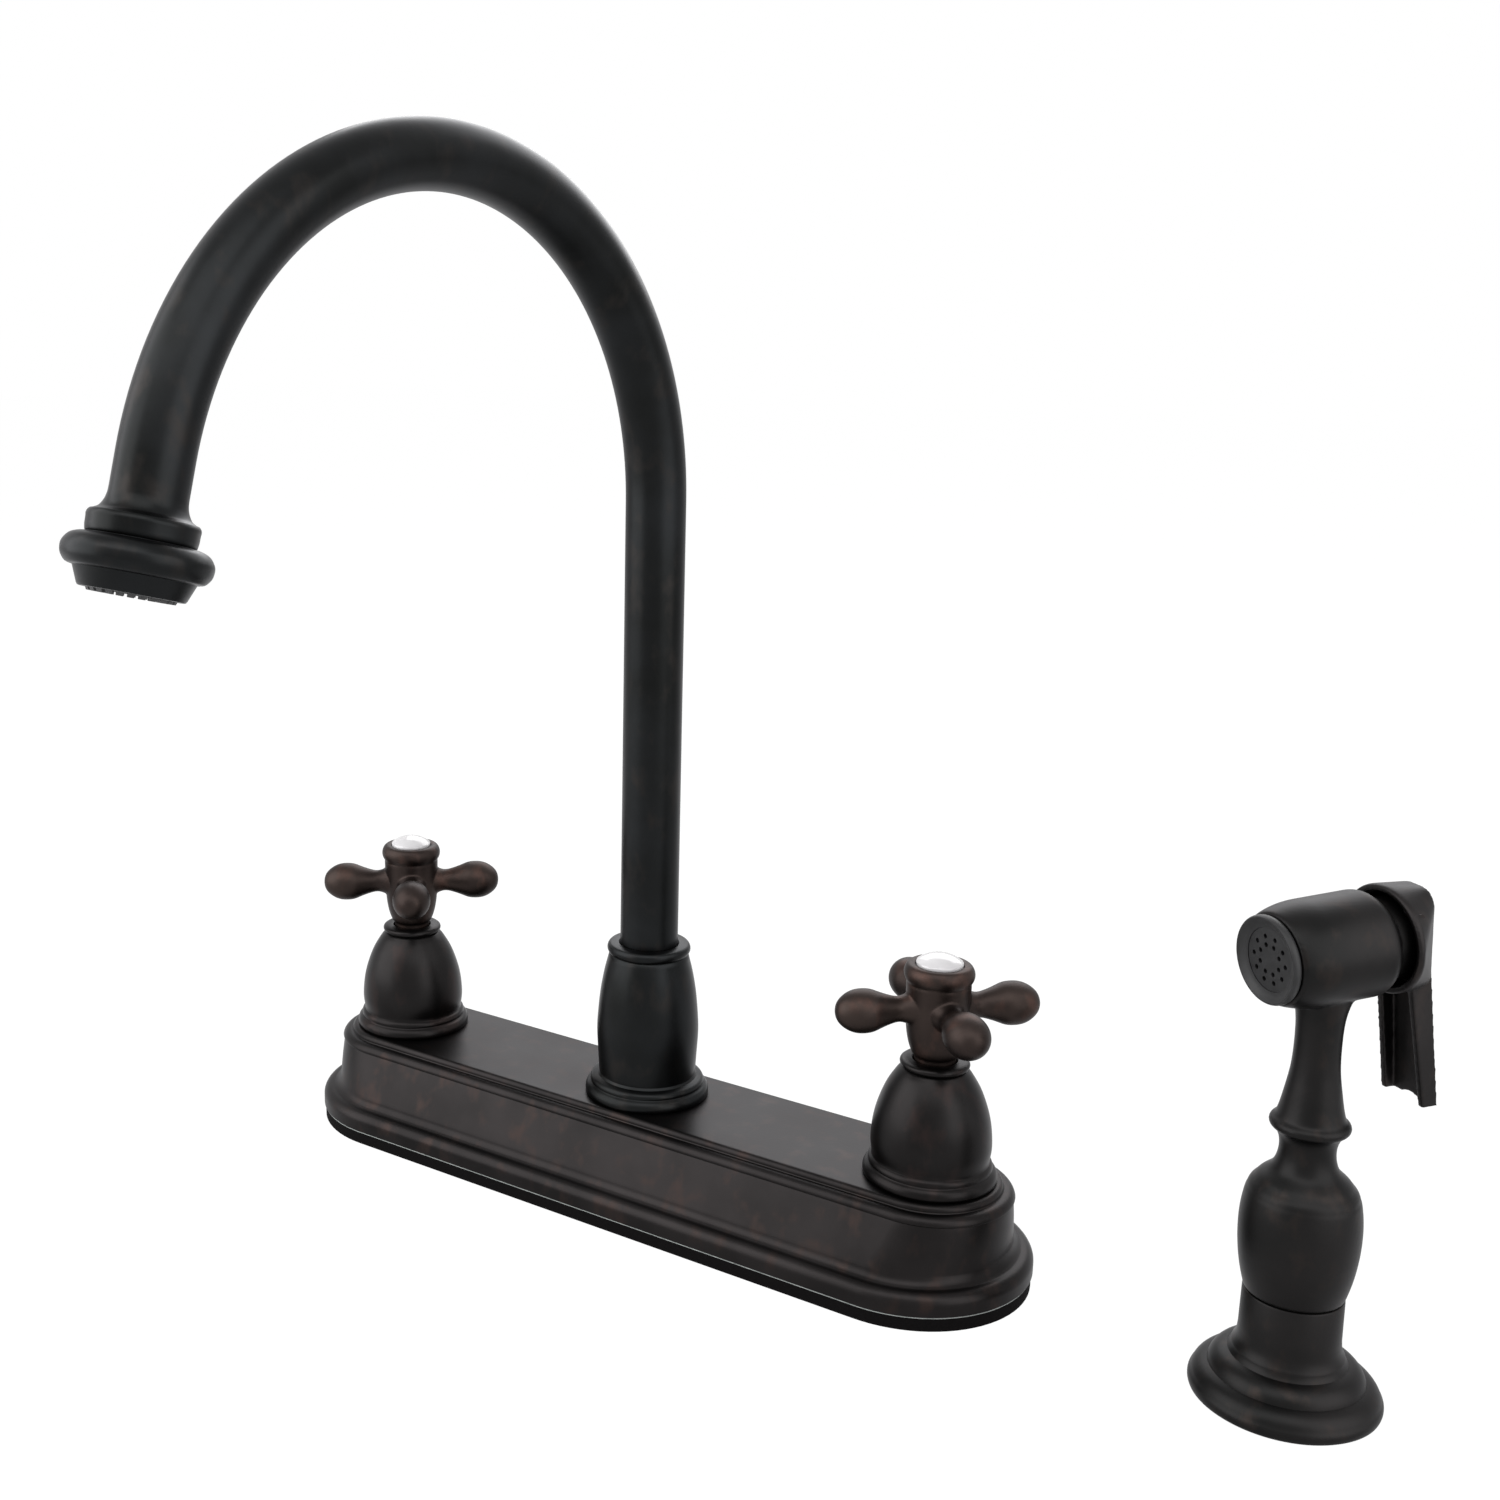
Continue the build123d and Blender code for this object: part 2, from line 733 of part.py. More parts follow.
def hose_coupling():
    body = sleeve(coupling_bore_r, coupling_r, coupling_end, coupling_top)
    body -= sleeve(coupling_r - clip_depth, coupling_r + past, clip_z, clip_z + clip_height)
    return body - rod(hose_socket_r, coupling_end - past, coupling_end + hose_socket_depth)


def coupling_clip():
    ring = sleeve(coupling_r - clip_depth + inside, coupling_r + clip_stand,
                  clip_z + clip_play, clip_z + clip_height - clip_play)
    return ring - Pos(coupling_r, 0, clip_z) * Box(*clip_gap)


def spray_body():
    barrel = turned((0, spigot_rear), (spigot_r, spigot_rear), (spigot_r, barrel_rear), *barrel_outline)
    body = at_sprayer(Pos(0, 0, holder_top) * turned(*grip_outline)) + in_head(along_x(barrel))
    body -= in_head(along_x(rod(rear_bore_r, spigot_rear - past, seat_at + past)))
    body -= in_head(along_x(rod(front_bore_r, seat_at, front_bore_end)))
    body -= in_head(cross_pin(pin_r, 2 * cap_r))
    # water passage up the grip, and the coupling's socket
    body -= at_sprayer(rod(passage_r, coupling_top, barrel_z - rear_bore_r + past))
    body -= at_sprayer(rod(coupling_r + running, holder_top - past, coupling_top + seam))
    body -= at_sprayer(rod(coupling_r + clip_stand + inside, clip_z - seam, clip_z + clip_height + seam))
    return body


def valve_seat():
    outer, inner = seat_lip_r
    front = seat_at + seat_thickness
    return along_x(turned(
        (passage_r, seat_at), (front_bore_r - inside, seat_at), (front_bore_r - inside, front), (outer, front),
        (inner, front + seat_lip), (passage_r, front + seat_lip)))


def gland():
    way_r = spring_r + gland_way
    return along_x(turned(
        (plunger_r + running, gland_rear), (plunger_r + running, gland_front), (rear_bore_r - inside, gland_front),
        (rear_bore_r - inside, spigot_rear), (way_r, spigot_rear), (way_r, gland_rear)))


def plunger():
    disc_rear, disc_front = plunger_disc
    return along_x(turned(
        (0, plunger_rear), (plunger_tip_r, plunger_rear), (plunger_head_r, plunger_rear + plunger_cone),
        (plunger_head_r, plunger_head_at), (plunger_r, plunger_head_at), (plunger_r, disc_rear),
        (plunger_disc_r, disc_rear), (plunger_disc_r, disc_front), (0, disc_front)))


def plunger_seal():
    rear = plunger_disc[0]
    return along_x(sleeve(plunger_r + inside, plunger_disc_r, rear - plunger_seal_thickness, rear))


def plunger_spring():
    centre = Helix(pitch=spring_length / spring_turns, height=spring_length, radius=spring_r)
    wire = sweep(Plane(origin=centre @ 0, z_dir=centre % 0) * Circle(spring_wire_r), path=centre)
    return along_x(Pos(0, 0, plunger_head_at + spring_play + spring_wire_r) * wire)


def nozzle_ring():
    ring_r_out = front_bore_r - inside
    return along_x(turned(
        (face_way_r, nozzle_rear), (ring_r_out, nozzle_rear), (ring_r_out, nozzle_face), (nozzle_rim_r, nozzle_face),
        nozzle_rim, nozzle_lip, (*nozzle_dish, (face_r, nozzle_floor)), (face_r, face_rear), (face_way_r, face_rear)))


def spray_face():
    body = rod(face_r - inside, face_rear, face_rear + face_thickness)
    for circle, count in ((outer_jet_circle, outer_jets), (inner_jet_circle, inner_jets)):
        for step in range(count):
            jet = rod(jet_r, face_rear - past, face_rear + face_thickness + past)
            body -= Rot(0, 0, (step + 0.5) * 360 / count) * Pos(circle, 0, 0) * jet
    return along_x(body)


def trigger_lever():
    # round cap that narrows to the flat back
    front = Plane((cap_front, 0, 0), x_dir=(0, 1, 0), z_dir=(-1, 0, 0))
    back = Plane((cap_back, 0, -cap_back_drop), x_dir=(0, 1, 0), z_dir=(-1, 0, 0))
    cap = loft([
        front * RectangleRounded(2 * cap_r, 2 * cap_r, cap_r - seam),
        back * RectangleRounded(*cap_back_size, cap_back_corner)])
    # strap below it, a channel open to the front
    tip_thickness, tip_width = strap_tip
    tip_back = strap_tip_at - tip_thickness / 2
    strap = loft([
        Pos((strap_front + cap_back) / 2, 0, strap_top) * Rectangle(strap_front - cap_back, strap_width),
        Pos(strap_tip_at, 0, lever_end) * Rectangle(tip_thickness, tip_width)], ruled=True)
    top_depth = strap_front - cap_back + cheek[0] - web[0] + slip
    tip_depth = tip_thickness + slip
    channel = loft([
        Pos(cap_back + web[0] + top_depth / 2, 0, strap_top) * Rectangle(top_depth, strap_width - 2 * cheek[0]),
        Pos(tip_back + web[1] + tip_depth / 2, 0, lever_end - past) * Rectangle(tip_depth, tip_width - 2 * cheek[1])],
        ruled=True)
    scallop = Pos(strap_tip_at, 0, lever_end - scallop_drop) * Rot(0, 90, 0) * Cylinder(scallop_r, 2 * scallop_r)
    body = cap + strap - channel - scallop
    body -= along_x(rod(cap_cavity_r, cap_back + cap_wall, cap_front + past))
    return body - cross_pin(pin_r + running, 4 * cap_r)


# ---- the pieces, by node ------------------------------------------------------

pieces["deck_plate"] = deck_plate()
pieces["plate_gasket"] = plate_gasket()
pieces["waterway"] = waterway()
pieces["hose_nipple"] = hose_nipple()
pieces["diverter_piston"] = diverter_piston()

for side, name in ((-1, "hot"), (1, "cold")):
    pieces[name + "_shank"] = at_handle(side, shank())
    pieces[name + "_cartridge"] = at_handle(side, cartridge())
    pieces[name + "_turning_disc"] = at_handle(side, turning_disc())
    pieces[name + "_stem"] = at_handle(side, stem())
    pieces[name + "_bell"] = at_handle(side, bell())
    for part, shape in (
            ("cross_handle", cross_handle(arm_turn[name])), ("handle_screw", handle_screw()),
            ("index_button", index_button())):
        pieces[name + "_" + part] = at_handle(side, Pos(0, 0, hub_foot) * shape)

pieces["lock_washers"] = both_handles(under_deck_washer(shank_r + hardware_slip))
pieces["lock_nuts"] = both_handles(under_deck_nut(nut_flats, shank_r + inside))
pieces["plate_nuts"] = Compound(children=[
    Pos(x, 0, 0) * sleeve(neck_r + inside, plate_nut_r, deck_top, plate_nut_top) for x in stations])
pieces["cartridge_seals"] = both_handles(ported_disc(seal_r, duct_r, valve_floor, seal_thickness))
pieces["fixed_discs"] = both_handles(ported_disc(disc_r, disc_port_r, disc_z, disc_thickness))

pieces["spout_post"] = spout_post()
pieces["spout_o_rings"] = spout_o_rings()
pieces["thrust_ring"] = thrust_ring()
pieces["spout_nut"] = spout_nut()
pieces["spout_collar"] = spout_collar()
pieces["spout_tube"] = spout_tube()
pieces["spout_bushing"] = in_spout_plane(spout_bushing())
pieces["spout_outlet"] = at_outlet(spout_outlet())
pieces["aerator_housing"] = at_outlet(aerator_housing())
pieces["aerator_screen"] = at_outlet(aerator_screen())
pieces["aerator_washer"] = at_outlet(aerator_washer())

pieces["holder_base"] = at_sprayer(holder_base())
pieces["holder_bushing"] = at_sprayer(holder_bushing())
pieces["holder_washer"] = at_sprayer(under_deck_washer(holder_shank_r + hardware_slip))
pieces["holder_nut"] = at_sprayer(under_deck_nut(holder_nut_flats, holder_shank_r + inside))
pieces["hose_coupling"] = at_sprayer(hose_coupling())
pieces["coupling_clip"] = at_sprayer(coupling_clip())
pieces["spray_body"] = spray_body()
pieces["valve_seat"] = in_head(valve_seat())
pieces["plunger_gland"] = in_head(gland())
pieces["plunger"] = in_head(plunger())
pieces["plunger_seal"] = in_head(plunger_seal())
pieces["plunger_spring"] = in_head(plunger_spring())
pieces["nozzle_ring"] = in_head(nozzle_ring())
pieces["spray_face"] = in_head(spray_face())
pieces["trigger_pin"] = in_head(cross_pin(pin_r, pin_length))
pieces["trigger_lever"] = in_head(trigger_lever())

for name, shape in pieces.items():
    export_step(shape, "parts/" + name + ".step")

print(len(pieces), "nodes")
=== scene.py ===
import json
import math
import bpy
from mathutils import Euler, Matrix, Vector


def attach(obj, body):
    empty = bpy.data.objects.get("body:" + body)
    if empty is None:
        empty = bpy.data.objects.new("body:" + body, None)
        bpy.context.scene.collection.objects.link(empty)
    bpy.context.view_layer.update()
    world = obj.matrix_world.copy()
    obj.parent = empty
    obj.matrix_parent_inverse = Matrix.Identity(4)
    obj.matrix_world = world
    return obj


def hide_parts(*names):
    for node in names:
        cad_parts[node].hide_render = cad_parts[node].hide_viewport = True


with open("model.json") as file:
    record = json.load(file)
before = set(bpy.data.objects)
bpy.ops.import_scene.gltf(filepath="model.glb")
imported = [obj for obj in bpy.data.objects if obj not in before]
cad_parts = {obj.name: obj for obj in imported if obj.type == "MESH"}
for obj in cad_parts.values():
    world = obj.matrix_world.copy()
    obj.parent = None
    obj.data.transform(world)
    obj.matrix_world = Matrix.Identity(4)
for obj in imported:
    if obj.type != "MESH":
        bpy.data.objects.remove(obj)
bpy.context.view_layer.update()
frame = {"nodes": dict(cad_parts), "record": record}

mm = 0.001
mergeGap = 1e-6  # metres, closer vertices are one
levelGap = 0.002  # millimetres, within it a vertex is on a level
print("frame loaded:", len(frame["nodes"]), "nodes")


# small tools, all sizes in millimetres

def deselectAll():
    if bpy.context.object and bpy.context.object.mode != "OBJECT":
        bpy.ops.object.mode_set(mode="OBJECT")
    bpy.ops.object.select_all(action="DESELECT")


def makeActive(obj):
    deselectAll()
    obj.select_set(True)
    bpy.context.view_layer.objects.active = obj


def arcRun(start, through, end, count=8):
    # points of the circle through three points, start left out
    ax, ay = start
    bx, by = through
    cx, cy = end
    d = 2 * (ax * (by - cy) + bx * (cy - ay) + cx * (ay - by))
    aa, bb, cc = ax**2 + ay**2, bx**2 + by**2, cx**2 + cy**2
    ux = (aa * (by - cy) + bb * (cy - ay) + cc * (ay - by)) / d
    uy = (aa * (cx - bx) + bb * (ax - cx) + cc * (bx - ax)) / d
    radius = math.hypot(ax - ux, ay - uy)
    a0 = math.atan2(ay - uy, ax - ux)
    a1 = math.atan2(cy - uy, cx - ux)
    middle = math.atan2(by - uy, bx - ux)
    turn = (a1 - a0) % (2 * math.pi)
    if (middle - a0) % (2 * math.pi) > turn:
        turn -= 2 * math.pi
    angles = [a0 + turn * i / count for i in range(1, count + 1)]
    return [(ux + radius * math.cos(a), uy + radius * math.sin(a)) for a in angles]


def curveRun(points, perSpan=5):
    # a smooth line through the points, first point left out
    padded = [tuple(2 * a - b for a, b in zip(points[0], points[1]))] + list(points)
    padded.append(tuple(2 * a - b for a, b in zip(points[-1], points[-2])))
    run = []
    for p0, p1, p2, p3 in zip(padded, padded[1:], padded[2:], padded[3:]):
        for i in range(1, perSpan + 1):
            t = i / perSpan
            run.append(tuple(
                0.5 * (2 * b + (c - a) * t + (2 * a - 5 * b + 4 * c - d) * t * t
                       + (3 * b - a - 3 * c + d) * t**3)
                for a, b, c, d in zip(p0, p1, p2, p3)))
    return run


def outline(start, *steps):
    # (radius, height) points; ("arc", through, end) and ("curve", points...) are rounded out
    line = [start]
    for step in steps:
        if step[0] == "arc":
            line += arcRun(line[-1], step[1], step[2])
        elif step[0] == "curve":
            line += curveRun([line[-1], *step[1:]])
        else:
            line.append(step)
    return line


def turnProfile(name, line, steps=96, closed=True):
    # one vertex, extruded along the outline and spun round Z
    deselectAll()
    bpy.ops.mesh.primitive_plane_add(size=mm, location=(0, 0, 0))
    piece = bpy.context.object
    piece.name = name
    bpy.ops.object.mode_set(mode="EDIT")
    bpy.ops.mesh.select_all(action="SELECT")
    bpy.ops.mesh.merge(type="CENTER")
    bpy.ops.transform.translate(value=(line[0][0] * mm, 0, line[0][1] * mm))
    route = line + [line[0]] if closed else line
    for (r0, z0), (r1, z1) in zip(route, route[1:]):
        step = ((r1 - r0) * mm, 0, (z1 - z0) * mm)
        bpy.ops.mesh.extrude_region_move(TRANSFORM_OT_translate={"value": step})
    bpy.ops.mesh.select_all(action="SELECT")
    bpy.ops.mesh.spin(steps=steps, angle=2 * math.pi, center=(0, 0, 0), axis=(0, 0, 1))
    bpy.ops.mesh.select_all(action="SELECT")
    bpy.ops.mesh.remove_doubles(threshold=mergeGap)
    bpy.ops.mesh.normals_make_consistent(inside=False)
    bpy.ops.object.mode_set(mode="OBJECT")
    return piece


def place(piece, matrix):
    piece.matrix_world = matrix @ piece.matrix_world
    makeActive(piece)
    bpy.ops.object.transform_apply(location=True, rotation=True, scale=True)


def levelsOf(piece):
    return sorted({round(v.co.z / mm, 3) for v in piece.data.vertices})


def moveVertices(piece, level, side, shift):
    # moves the vertices on one level for which side(place) is true
    makeActive(piece)
    bpy.ops.object.mode_set(mode="EDIT")
    bpy.ops.mesh.select_mode(type="VERT")
    bpy.ops.mesh.select_all(action="DESELECT")
    bpy.ops.object.mode_set(mode="OBJECT")
    for v in piece.data.vertices:
        v.select = abs(v.co.z / mm - level) < levelGap and side(v.co)
    bpy.ops.object.mode_set(mode="EDIT")
    bpy.ops.transform.translate(value=[part * mm for part in shift])
    bpy.ops.object.mode_set(mode="OBJECT")


castFactor = 0.5  # how far each smoothing round goes


def softCopy(node, name, voxel, rounds, extras=()):
    # a copy of a part, with extra lumps fused in, its edges and joints softened like a casting's
    source = frame["nodes"][node]
    deselectAll()
    bpy.ops.mesh.primitive_plane_add(size=mm, location=(0, 0, 0))
    piece = bpy.context.object
    piece.name = name
    piece.data = source.data.copy()
    piece.data.materials.clear()
    makeActive(piece)
    for extra in extras:
        extra.select_set(True)
    if extras:
        bpy.ops.object.join()
    bpy.ops.object.mode_set(mode="EDIT")
    bpy.ops.mesh.select_all(action="SELECT")
    bpy.ops.mesh.remove_doubles(threshold=mergeGap)
    bpy.ops.object.mode_set(mode="OBJECT")
    remesh = piece.modifiers.new("evenSkin", "REMESH")
    remesh.mode = "VOXEL"
    remesh.voxel_size = voxel * mm
    bpy.ops.object.modifier_apply(modifier="evenSkin")
    smooth = piece.modifiers.new("softEdges", "SMOOTH")
    smooth.factor = castFactor
    smooth.iterations = rounds
    bpy.ops.object.modifier_apply(modifier="softEdges")
    return piece


def finishPiece(piece, body, nodes, material, angle=32):
    makeActive(piece)
    bpy.ops.object.shade_smooth_by_angle(angle=math.radians(angle))
    piece.data.materials.clear()
    piece.data.materials.append(material)
    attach(piece, body)
    if nodes:
        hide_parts(*nodes)


# materials

def newMaterial(name):
    material = bpy.data.materials.new(name)
    material.use_nodes = True
    nodes = material.node_tree.nodes
    return material, nodes, material.node_tree.links, nodes["Principled BSDF"]


def noiseOn(nodes, links, scale, detail=4.0, stretch=(1, 1, 1)):
    coordinates = nodes.new("ShaderNodeTexCoord")
    mapping = nodes.new("ShaderNodeMapping")
    mapping.inputs["Scale"].default_value = stretch
    noise = nodes.new("ShaderNodeTexNoise")
    noise.inputs["Scale"].default_value = scale
    noise.inputs["Detail"].default_value = detail
    links.new(coordinates.outputs["Object"], mapping.inputs["Vector"])
    links.new(mapping.outputs["Vector"], noise.inputs["Vector"])
    return noise


def rampFrom(nodes, links, source, stops):
    ramp = nodes.new("ShaderNodeValToRGB")
    while len(ramp.color_ramp.elements) < len(stops):
        ramp.color_ramp.elements.new(0.5)
    for element, (position, colour) in zip(ramp.color_ramp.elements, stops):
        element.position = position
        element.color = (*colour, 1)
    links.new(source, ramp.inputs["Fac"])
    return ramp


def rangeFrom(nodes, links, source, low, high):
    spread = nodes.new("ShaderNodeMapRange")
    spread.inputs["From Min"].default_value = 0.3
    spread.inputs["From Max"].default_value = 0.7
    spread.inputs["To Min"].default_value = low
    spread.inputs["To Max"].default_value = high
    links.new(source, spread.inputs["Value"])
    return spread


def addBump(nodes, links, shader, source, strength, distance):
    bump = nodes.new("ShaderNodeBump")
    bump.inputs["Strength"].default_value = strength
    bump.inputs["Distance"].default_value = distance
    links.new(source, bump.inputs["Height"])
    links.new(bump.outputs["Normal"], shader.inputs["Normal"])


# painted light and shade: the plate, bell, spout, sprayer and lever looks are lighter and darker copies of
# one bronze, each part's tone set to how bright that part looks under the light; the handles' warmer, more
# rubbed brown is their own colour
bronzeLook = {
    "plate": {"dark": (0.013, 0.012, 0.012), "mid": (0.020, 0.018, 0.018), "rub": (0.028, 0.020, 0.018),
              "roughness": (0.34, 0.43)},
    "bell": {"dark": (0.012, 0.011, 0.011), "mid": (0.018, 0.017, 0.017), "rub": (0.026, 0.019, 0.018),
             "roughness": (0.32, 0.40)},
    "handle": {"dark": (0.021, 0.016, 0.015), "mid": (0.036, 0.027, 0.024), "rub": (0.060, 0.035, 0.029),
               "roughness": (0.40, 0.50)},
    "spout": {"dark": (0.011, 0.0115, 0.0115), "mid": (0.016, 0.017, 0.018), "rub": (0.021, 0.019, 0.018),
              "roughness": (0.32, 0.40)},
    "sprayer": {"dark": (0.012, 0.012, 0.012), "mid": (0.018, 0.017, 0.017), "rub": (0.026, 0.021, 0.019),
                "roughness": (0.38, 0.46)},
    # painted light: the lever look is the sprayer's bronze made lighter, to make up for the shade the lever
    # and its cap sit in
    "lever": {"dark": (0.016, 0.015, 0.015), "mid": (0.024, 0.022, 0.022), "rub": (0.034, 0.028, 0.026),
              "roughness": (0.40, 0.50)},
    "patchScale": 38.0,
    "rubScale": 150.0,
    "grainScale": 900.0,
    "patchStops": (0.36, 0.66),
    "rubStops": (0.54, 0.72),
    "rubShare": 0.75,
    "grainBump": (0.12, 0.00008),
    "edgeTint": (0.85, 0.85, 0.86),
}


def oilRubbedBronze(name, look):
    # near-black patina in soft patches, rubbed through to a warmer brown here and there
    material, nodes, links, shader = newMaterial(name)
    patches = noiseOn(nodes, links, bronzeLook["patchScale"], 6.0)
    darkStop, midStop = bronzeLook["patchStops"]
    tone = rampFrom(nodes, links, patches.outputs["Fac"], [(darkStop, look["dark"]), (midStop, look["mid"])])
    rubbed = noiseOn(nodes, links, bronzeLook["rubScale"], 5.0, (1, 1, 0.6))
    firstRub, fullRub = bronzeLook["rubStops"]
    share = rampFrom(nodes, links, rubbed.outputs["Fac"], [
        (firstRub, (0, 0, 0)), (fullRub, (bronzeLook["rubShare"],) * 3)])
    mix = nodes.new("ShaderNodeMix")
    mix.data_type = "RGBA"
    links.new(share.outputs["Color"], mix.inputs["Factor"])
    links.new(tone.outputs["Color"], mix.inputs["A"])
    mix.inputs["B"].default_value = (*look["rub"], 1)
    links.new(mix.outputs["Result"], shader.inputs["Base Color"])
    grain = noiseOn(nodes, links, bronzeLook["grainScale"], 3.0)
    roughness = rangeFrom(nodes, links, patches.outputs["Fac"], *look["roughness"])
    links.new(roughness.outputs["Result"], shader.inputs["Roughness"])
    shader.inputs["Metallic"].default_value = 1.0
    shader.inputs["Specular Tint"].default_value = (*bronzeLook["edgeTint"], 1)
    addBump(nodes, links, shader, grain.outputs["Fac"], *bronzeLook["grainBump"])
    return material


# these bronzes carry painted light and shade in their per-part tones; the patches and rubbed spots within
# each are random tone
plateBronze = oilRubbedBronze("plateBronze", bronzeLook["plate"])
bellBronze = oilRubbedBronze("bellBronze", bronzeLook["bell"])
handleBronze = oilRubbedBronze("handleBronze", bronzeLook["handle"])
spoutBronze = oilRubbedBronze("spoutBronze", bronzeLook["spout"])
sprayerBronze = oilRubbedBronze("sprayerBronze", bronzeLook["sprayer"])
leverBronze = oilRubbedBronze("leverBronze", bronzeLook["lever"])


def plainFinish(name, low, high, scale, roughness, metallic=0.0, bump=0.1, stretch=(1, 1, 1)):
    # a finish with a fine variation of tone and roughness
    material, nodes, links, shader = newMaterial(name)
    noise = noiseOn(nodes, links, scale, 5.0, stretch)
    tone = rampFrom(nodes, links, noise.outputs["Fac"], [(0.3, low), (0.7, high)])
    links.new(tone.outputs["Color"], shader.inputs["Base Color"])
    spread = rangeFrom(nodes, links, noise.outputs["Fac"], roughness[0], roughness[1])
    links.new(spread.outputs["Result"], shader.inputs["Roughness"])
    shader.inputs["Metallic"].default_value = metallic
    addBump(nodes, links, shader, noise.outputs["Fac"], bump, 0.0001)
    return material


plainLook = {
    # low and high colour, scale of the grain, range of roughness
    "rawBrass": ((0.52, 0.36, 0.13), (0.68, 0.50, 0.22), 260, (0.24, 0.36)),
    "brightSteel": ((0.46, 0.46, 0.47), (0.62, 0.62, 0.62), 420, (0.2, 0.32)),
    "blackFoam": ((0.0015, 0.0012, 0.0013), (0.004, 0.0035, 0.0037), 1500, (0.8, 0.95)),
    "greyNozzle": ((0.004, 0.004, 0.0045), (0.009, 0.009, 0.010), 420, (0.45, 0.58)),
    "greyScreen": ((0.016, 0.016, 0.017), (0.05, 0.05, 0.052), 900, (0.55, 0.7)),
    "blackRubber": ((0.010, 0.010, 0.010), (0.022, 0.022, 0.022), 700, (0.5, 0.65)),
    "palePlastic": ((0.70, 0.70, 0.67), (0.80, 0.80, 0.78), 300, (0.35, 0.45)),
    "paleLiner": ((0.20, 0.22, 0.21), (0.34, 0.36, 0.35), 500, (0.5, 0.65)),
    "valveCeramic": ((0.74, 0.73, 0.69), (0.82, 0.81, 0.78), 240, (0.12, 0.2)),
}


def madeOf(name, **rest):
    return plainFinish(name, *plainLook[name], **rest)


def dullShine(material, level):
    material.node_tree.nodes["Principled BSDF"].inputs["Specular IOR Level"].default_value = level


rawBrass = madeOf("rawBrass", metallic=1.0, bump=0.1, stretch=(1, 1, 5))
brightSteel = madeOf("brightSteel", metallic=1.0, bump=0.08, stretch=(1, 1, 6))
blackFoam = madeOf("blackFoam", bump=0.5)
greyNozzle = madeOf("greyNozzle", bump=0.15)
greyScreen = madeOf("greyScreen", bump=0.2)
blackRubber = madeOf("blackRubber", bump=0.2)
palePlastic = madeOf("palePlastic", bump=0.05)
paleLiner = madeOf("paleLiner", bump=0.1)
valveCeramic = madeOf("valveCeramic", bump=0.02)
dullShine(blackFoam, 0.06)
dullShine(greyNozzle, 0.35)

porcelainLook = {
    "low": (0.52, 0.51, 0.52), "high": (0.59, 0.58, 0.59), "scale": 160, "detail": 2.0,
    "roughness": 0.16, "coat": 0.4, "coatRoughness": 0.06, "bump": (0.03, 0.0002),
}


def glazedPorcelain():
    look = porcelainLook
    material, nodes, links, shader = newMaterial("glazedPorcelain")
    noise = noiseOn(nodes, links, look["scale"], look["detail"])
    tone = rampFrom(nodes, links, noise.outputs["Fac"], [(0.3, look["low"]), (0.7, look["high"])])
    links.new(tone.outputs["Color"], shader.inputs["Base Color"])
    shader.inputs["Roughness"].default_value = look["roughness"]
    shader.inputs["Coat Weight"].default_value = look["coat"]
    shader.inputs["Coat Roughness"].default_value = look["coatRoughness"]
    addBump(nodes, links, shader, noise.outputs["Fac"], *look["bump"])
    return material


whitePorcelain = glazedPorcelain()
print("materials made")

slotMaterials = {
    "dark_bronze": sprayerBronze, "raw_brass": rawBrass, "black_rubber": blackRubber,
    "pale_plastic": palePlastic, "valve_ceramic": valveCeramic, "white_porcelain": whitePorcelain,
    "steel": brightSteel,
}
for entry in frame["record"]["subparts"]:
    node = frame["nodes"][entry["node"]]
    node.data.materials.clear()
    node.data.materials.append(slotMaterials[entry["material_slot"]])
frame["nodes"]["plate_gasket"].data.materials[0] = blackFoam
for screenNode in ("aerator_housing", "aerator_screen"):
    frame["nodes"][screenNode].data.materials[0] = greyScreen
frame["nodes"]["trigger_pin"].data.materials[0] = leverBronze
frame["nodes"]["spray_face"].data.materials[0] = greyNozzle


# deck plate and gasket

plate = {
    # how far the round ends stand out, level by level
    "offsets": [(10.9, 96.2), (14.3, 95.8), (28.4, 101.6), (33.3, 101.3)],
    "steps": 128,
}


def endOffset(z):
    levels = plate["offsets"]
    if z <= levels[0][0]:
        return levels[0][1]
    for (z0, c0), (z1, c1) in zip(levels, levels[1:]):
        if z <= z1:
            return c0 + (c1 - c0) * (z - z0) / (z1 - z0)
    return levels[-1][1]


def stretchToPlate(piece):
    # the turned shape is halved across X and its halves moved apart, level by level
    place(piece, Matrix.Rotation(math.pi / plate["steps"], 4, "Z"))
    for level in levelsOf(piece):
        for side in (-1, 1):
            moveVertices(piece, level, lambda co: co.x * side > 0, (side * endOffset(level), 0, 0))


def buildDeckPlate():
    line = outline(
        (0, 33.3), (10.0, 33.3), (20.0, 33.3), (20.5, 33.3), ("arc", (21.63, 32.83), (22.1, 31.75)),
        (22.1, 31.45), (22.3, 31.2), (22.75, 31.15), ("arc", (24.7, 30.4), (25.5, 28.9)),
        (25.45, 28.6), (25.15, 28.45), (25.0, 28.2),
        ("curve", (25.7, 26.8), (27.6, 22.6), (29.4, 18.3), (31.0, 14.4)),
        ("curve", (31.4, 13.1), (32.1, 12.1), (33.0, 11.45)),
        (33.4, 11.3), ("arc", (35.87, 10.27), (36.9, 7.8)), (36.9, 4.75), (36.6, 4.45),
        (33.9, 4.45), (33.9, 8.4), (28.2, 8.6), (22.5, 27.3), (19.5, 30.3), (0, 30.3))
    piece = turnProfile("deckPlateCasting", line, plate["steps"], closed=False)
    stretchToPlate(piece)
    finishPiece(piece, "faucet_base", ["deck_plate"], plateBronze, 30)


def buildGasketLiner():
    liner = turnProfile("gasketLiner", outline(
        (36.3, 4.16), (36.6, 4.16), (36.68, 4.3), (36.6, 4.43), (36.3, 4.43)), plate["steps"])
    stretchToPlate(liner)
    finishPiece(liner, "faucet_base", [], paleLiner, 40)


buildDeckPlate()
buildGasketLiner()
print("plate made")


# turned covers

covers = {"handleSpan": 101.6, "steps": 112}  # span from the middle of the plate to a handle


